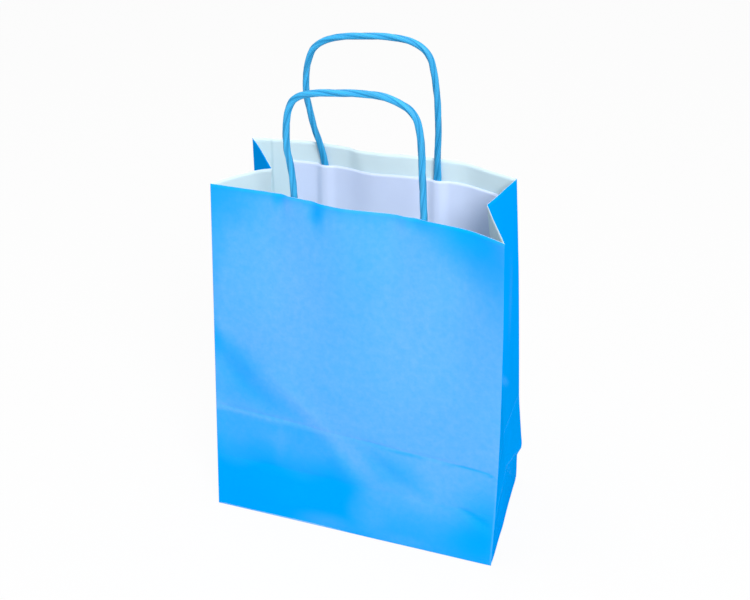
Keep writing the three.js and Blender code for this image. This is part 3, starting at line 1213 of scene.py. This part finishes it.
def flatness(sheet, height):
    """How far a leg is pressed flat at a height: 0 above the rim, 1 under the patch."""
    return ease((sheet.rim - height) / PATCH_DROP)


def half_depth(sheet, height, radius):
    """Half of the cord's depth off the panel at a height."""
    return radius * (1 - PRESSED * flatness(sheet, height))


def inside_point(sheet, side, from_middle, height, inward):
    """Point inside a panel, so far in from its outer face."""
    share = across_share(sheet, side, from_middle)
    off = sheet.outward(side, share, min(height, sheet.rim - sheet.SLOPE_HEIGHT))
    return sheet.point(side, share, height) - inward * off


def leg_places(side):
    """How far each leg stands right of its panel's middle under the patch."""
    return [LEG_SHIFT[side] + end * LEG_SPACING[side] for end in (-0.5, 0.5)]


def handle_route(sheet, side, radius):
    """Points along a handle: up its left leg, over the arch and down its right leg."""
    legs = []
    for place, lean in zip(leg_places(side), LEG_LEAN[side]):
        leg = []
        for held in HELD_SHARES:
            height = sheet.rim - held * TUCK
            stands = place if held else place + lean
            inward = CAD_PAPER + CLEARANCE + half_depth(sheet, height, radius)
            leg.append(inside_point(sheet, side, stands, height, inward))
        legs.append(leg)
    left_top, right_top = legs[0][-1], legs[1][-1]
    across = right_top - left_top
    up = Vector((0, 0, REACH[side]))
    arch = [left_top + along * across + rise * up for along, rise in ARCH_ROUTE[side]]
    return legs[0] + arch + legs[1][::-1]


def smooth_route(points, step):
    """Even points on a centripetal curve through the given ones."""
    run = [2 * points[0] - points[1]] + points + [2 * points[-1] - points[-2]]
    dense = []
    for a, b, c, d in zip(run, run[1:], run[2:], run[3:]):
        ab, bc, cd = (math.sqrt((q - p).length) for p, q in ((a, b), (b, c), (c, d)))
        into = ((b - a) / ab - (c - a) / (ab + bc) + (c - b) / bc) * bc
        out = ((c - b) / bc - (d - b) / (bc + cd) + (d - c) / cd) * bc
        for k in range(CURVE_STEPS):
            t = k / CURVE_STEPS
            dense.append(
                b * (2 * t**3 - 3 * t**2 + 1) + into * (t**3 - 2 * t**2 + t)
                + c * (3 * t**2 - 2 * t**3) + out * (t**3 - t**2)
            )
    dense.append(points[-1])
    length = sum((q - p).length for p, q in zip(dense, dense[1:]))
    return resampled(dense, round(length / step)), length


def make_cord(sheet, side, handle):
    """One twisted paper cord as a closed tube with its ridges turning along it."""
    radius = handle.thickness / 2
    route, length = smooth_route(handle_route(sheet, side, radius), CORD_STEP)
    sideways = (route[-1] - route[0]).cross(Vector((0, 0, 1))).normalized()
    if side == "back":
        sideways = -sideways
    rows = []
    ridges = []
    strand_places = []
    for k, centre in enumerate(route):
        pressed = PRESSED * flatness(sheet, centre.z)
        along = (route[min(k + 1, len(route) - 1)] - route[max(k - 1, 0)]).normalized()
        across = along.cross(sideways).normalized()
        depthwise = across.cross(along).normalized()
        travelled = length * k / (len(route) - 1)
        turn = 2 * math.pi * travelled / handle.pitch
        row = []
        for i in range(CORD_POINTS):
            angle = 2 * math.pi * i / CORD_POINTS
            lobe = abs(math.sin(handle.strands * (angle - turn) / 2))
            around = Vector((math.cos(angle - turn), math.sin(angle - turn), 0))
            streak = noise.noise(around * STREAK_ROUND + Vector((0, 0, travelled * STREAK_ALONG)))
            size = radius - handle.groove * (1 - lobe) ** 2 + STREAK_DEPTH * streak
            deep = size * (1 - pressed) * math.cos(angle)
            wide = size * (1 + WIDENED * pressed) * math.sin(angle)
            row.append(centre + deep * depthwise + wide * across)
            ridges.append(min(1.0, lobe * RIDGE_GAIN))
            strand_places += [around.x, around.y, travelled * FOLDS_ALONG]
        rows.append(row)
    piece = grid_object(f"{side}_cord", rows, closed=True)
    ridge = piece.data.attributes.new("ridge", "FLOAT", "POINT")
    ridge.data.foreach_set("value", ridges)
    strand = piece.data.attributes.new("strand", "FLOAT_VECTOR", "POINT")
    strand.data.foreach_set("vector", strand_places)
    close_ends(piece)
    return piece


def close_ends(piece):
    """Fills the open ends of a tube and turns its faces outwards."""
    tube = bmesh.new()
    tube.from_mesh(piece.data)
    bmesh.ops.holes_fill(tube, edges=[e for e in tube.edges if e.is_boundary], sides=0)
    bmesh.ops.recalc_face_normals(tube, faces=tube.faces)
    tube.to_mesh(piece.data)
    tube.free()


# Patches: size, how far the top edge lies below the rim, how far right of the panel's middle, the share of
# a leg's radius on which the bump over it is flat, over how much more than the leg the bump runs out, and
# the steps of the mesh across and upright
PATCH_WIDTH = 134 * MM
PATCH_HEIGHT = 40 * MM
PATCH_DROP = 13 * MM
PATCH_SHIFT = {"front": 0.0, "back": 6 * MM}
BUMP_TOP = 0.35
BUMP_RUN_OUT = 5 * MM
PATCH_STEPS = (1.2 * MM, 2 * MM)


def patch_lift(from_leg, radius):
    """How far a patch stands off its panel, so far from the middle of a leg."""
    fall = ease((abs(from_leg) - BUMP_TOP * radius) / ((1 - BUMP_TOP) * radius + BUMP_RUN_OUT))
    return CLEARANCE + (2 * radius * (1 - PRESSED) + 0.5 * CLEARANCE) * (1 - fall)


def make_patch(sheet, side, handle, paper):
    """Patch glued to the inside of a panel over both legs of a handle."""
    radius = handle.thickness / 2
    legs = leg_places(side)
    start = PATCH_SHIFT[side] - PATCH_WIDTH / 2
    across_step, upright_step = PATCH_STEPS
    columns = even_steps(start, start + PATCH_WIDTH, across_step) + [start + PATCH_WIDTH]
    top = sheet.rim - PATCH_DROP
    heights = even_steps(top - PATCH_HEIGHT, top, upright_step) + [top]
    rows = []
    for height in heights:
        row = []
        for x in columns:
            nearest = min(abs(x - leg) for leg in legs)
            lift = CAD_PAPER + patch_lift(nearest, radius) + paper.thickness
            row.append(inside_point(sheet, side, x, height, lift))
        rows.append(row)
    if side == "front":
        rows.reverse()
    piece = grid_object(f"{side}_patch", rows)
    thicken(piece, paper.thickness)
    return piece


# Stage


def seen_white(tree):
    """1 for the rays that should meet a plain white background, else 0."""
    rays = tree.nodes.new("ShaderNodeLightPath")
    found = rays.outputs["Is Camera Ray"]
    for kind in ("Is Glossy Ray", "Is Transmission Ray"):
        most = tree.nodes.new("ShaderNodeMath")
        most.operation = "MAXIMUM"
        tree.links.new(found, most.inputs[0])
        tree.links.new(rays.outputs[kind], most.inputs[1])
        found = most.outputs[0]
    return found


# Floor: half of its side, and how much of what is seen of it is plain white
FLOOR_HALF = 3.0
FLOOR_WHITE = 0.94


def make_floor():
    """White floor that keeps the bag's shadow."""
    ends = (-FLOOR_HALF, FLOOR_HALF)
    floor = grid_object("floor", [[Vector((x, y, 0)) for x in ends] for y in ends])
    nodes = Nodes("white_floor")
    nodes.finish(Base_Color=(0.75, 0.75, 0.75, 1), Roughness=0.9)
    tree = nodes.tree
    glow = tree.nodes.new("ShaderNodeEmission")
    picked = tree.nodes.new("ShaderNodeMixShader")
    share = nodes.span(seen_white(tree), 0, 1, 0, FLOOR_WHITE)
    tree.links.new(share, picked.inputs[0])
    tree.links.new(nodes.shader.outputs[0], picked.inputs[1])
    tree.links.new(glow.outputs[0], picked.inputs[2])
    tree.links.new(picked.outputs[0], tree.nodes["Material Output"].inputs[0])
    paint(floor, nodes.material)


def make_world(strength):
    """Even white light, seen as plain white by the camera."""
    world = bpy.data.worlds.new("white_room")
    world.use_nodes = True
    tree = world.node_tree
    back = tree.nodes["Background"]
    back.inputs["Color"].default_value = (1, 1, 1, 1)
    level = tree.nodes.new("ShaderNodeMapRange")
    tree.links.new(seen_white(tree), level.inputs[0])
    level.inputs[3].default_value = strength
    level.inputs[4].default_value = 1.0
    tree.links.new(level.outputs[0], back.inputs["Strength"])
    bpy.context.scene.world = world


# Lamps: their places, the point they face and the length of their sides
KEY_PLACE = Vector((0.72, -1.0, 1.1))
TOP_PLACE = Vector((-0.2, -0.05, 1.4))
LAMP_TARGET = Vector((0, 0, 0.1))
LAMP_SIZE = 0.6


def make_lamp(name, place, power):
    """Square area lamp facing the bag."""
    lamp = bpy.data.lights.new(name, "AREA")
    lamp.shape = "SQUARE"
    lamp.size = LAMP_SIZE
    lamp.energy = power
    holder = bpy.data.objects.new(name, lamp)
    holder.location = place
    holder.rotation_mode = "QUATERNION"
    holder.rotation_quaternion = (LAMP_TARGET - place).to_track_quat("-Z", "Y")
    bpy.context.collection.objects.link(holder)


def make_camera(stage):
    """Camera at the photograph's viewing angle."""
    camera = bpy.data.cameras.new("camera")
    camera.sensor_width = 36
    camera.lens = stage.focal_length
    camera.clip_start = 0.01
    holder = bpy.data.objects.new("camera", camera)
    a, e = stage.azimuth, stage.elevation
    back = Vector((math.sin(a) * math.cos(e), -math.cos(a) * math.cos(e), math.sin(e)))
    level = Vector((math.cos(a), math.sin(a), 0))
    turned = Matrix.Rotation(stage.roll, 3, back)
    right = turned @ level
    up = back.cross(right)
    facing = Matrix((right, up, back)).transposed().to_4x4()
    holder.matrix_world = Matrix.Translation(Vector(stage.look_at) + back * stage.distance) @ facing
    bpy.context.collection.objects.link(holder)
    bpy.context.scene.camera = holder


# Operators


class PAPERBAG_OT_paper(Operator):
    """Folds the bag's sheet, with its creases and glued seam"""

    bl_idname = "paper_bag.make_paper"
    bl_label = "Bag Paper"

    def execute(self, context):
        paper = settings("bag_paper")
        sheet = load_sheet()
        piece = make_paper(sheet, paper)
        inside = plain_paper("white_inside_paper", paper.inside_colour, INSIDE_FIBRE)
        edge = plain_paper("cut_paper_edge", paper.edge_colour, EDGE_FIBRE)
        paint(piece, printed_paper(paper), inside, edge)
        thicken(piece, paper.thickness, INSIDE_SLOT, EDGE_SLOT)
        base = make_base(sheet, paper)
        paint(base, piece.data.materials[0], inside, edge)
        for made in (piece, base):
            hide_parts("bag_body")
            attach(made, "root")
        return {"FINISHED"}


class PAPERBAG_OT_handles(Operator):
    """Twists the two paper cords and glues their patches inside the panels"""

    bl_idname = "paper_bag.make_handles"
    bl_label = "Handles and Patches"

    def execute(self, context):
        handle = settings("bag_handles")
        paper = settings("bag_paper")
        sheet = load_sheet()
        cord_finish = cord_paper(handle)
        patch_paper = plain_paper("white_patch_paper", handle.patch_colour, PATCH_FIBRE)
        for side in PANELS:
            cord = make_cord(sheet, side, handle)
            paint(cord, cord_finish)
            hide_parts(f"{side}_handle")
            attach(cord, "root")
            patch = make_patch(sheet, side, handle, paper)
            paint(patch, patch_paper)
            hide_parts(f"{side}_handle_patch")
            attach(patch, "root")
        return {"FINISHED"}


class PAPERBAG_OT_stage(Operator):
    """Sets the floor, the room light, the lamps and the camera"""

    bl_idname = "paper_bag.make_stage"
    bl_label = "Stage"

    def execute(self, context):
        stage = settings("bag_stage")
        make_floor()
        make_world(stage.sky_strength)
        make_lamp("key_lamp", KEY_PLACE, stage.key_power)
        make_lamp("top_lamp", TOP_PLACE, stage.top_power)
        make_camera(stage)
        context.scene.view_settings.view_transform = "Standard"
        return {"FINISHED"}


class PAPERBAG_PT_sidebar(Panel):
    """Lists the pieces of the bag and their settings"""

    bl_idname = "PAPERBAG_PT_sidebar"
    bl_label = "Paper Bag"
    bl_space_type = "VIEW_3D"
    bl_region_type = "UI"
    bl_category = "Paper Bag"

    def draw(self, context):
        for operator, group in MAKERS:
            column = self.layout.column()
            column.operator(operator)
            chosen = settings(group)
            for name in chosen.__annotations__:
                column.prop(chosen, name)


MAKERS = (
    ("paper_bag.make_paper", "bag_paper"),
    ("paper_bag.make_handles", "bag_handles"),
    ("paper_bag.make_stage", "bag_stage"),
)
CLASSES = (
    PaperSettings,
    HandleSettings,
    StageSettings,
    PAPERBAG_OT_paper,
    PAPERBAG_OT_handles,
    PAPERBAG_OT_stage,
    PAPERBAG_PT_sidebar,
)


def register():
    """Adds the classes and the scene's settings."""
    for cls in CLASSES:
        bpy.utils.register_class(cls)
    bpy.types.Scene.bag_paper = PointerProperty(type=PaperSettings)
    bpy.types.Scene.bag_handles = PointerProperty(type=HandleSettings)
    bpy.types.Scene.bag_stage = PointerProperty(type=StageSettings)


def unregister():
    """Takes the classes and the scene's settings away."""
    del bpy.types.Scene.bag_paper
    del bpy.types.Scene.bag_handles
    del bpy.types.Scene.bag_stage
    for cls in reversed(CLASSES):
        bpy.utils.unregister_class(cls)


def main():
    """Makes every piece and the stage."""
    register()
    bpy.ops.paper_bag.make_paper()
    bpy.ops.paper_bag.make_handles()
    bpy.ops.paper_bag.make_stage()


if __name__ == "__main__":
    main()
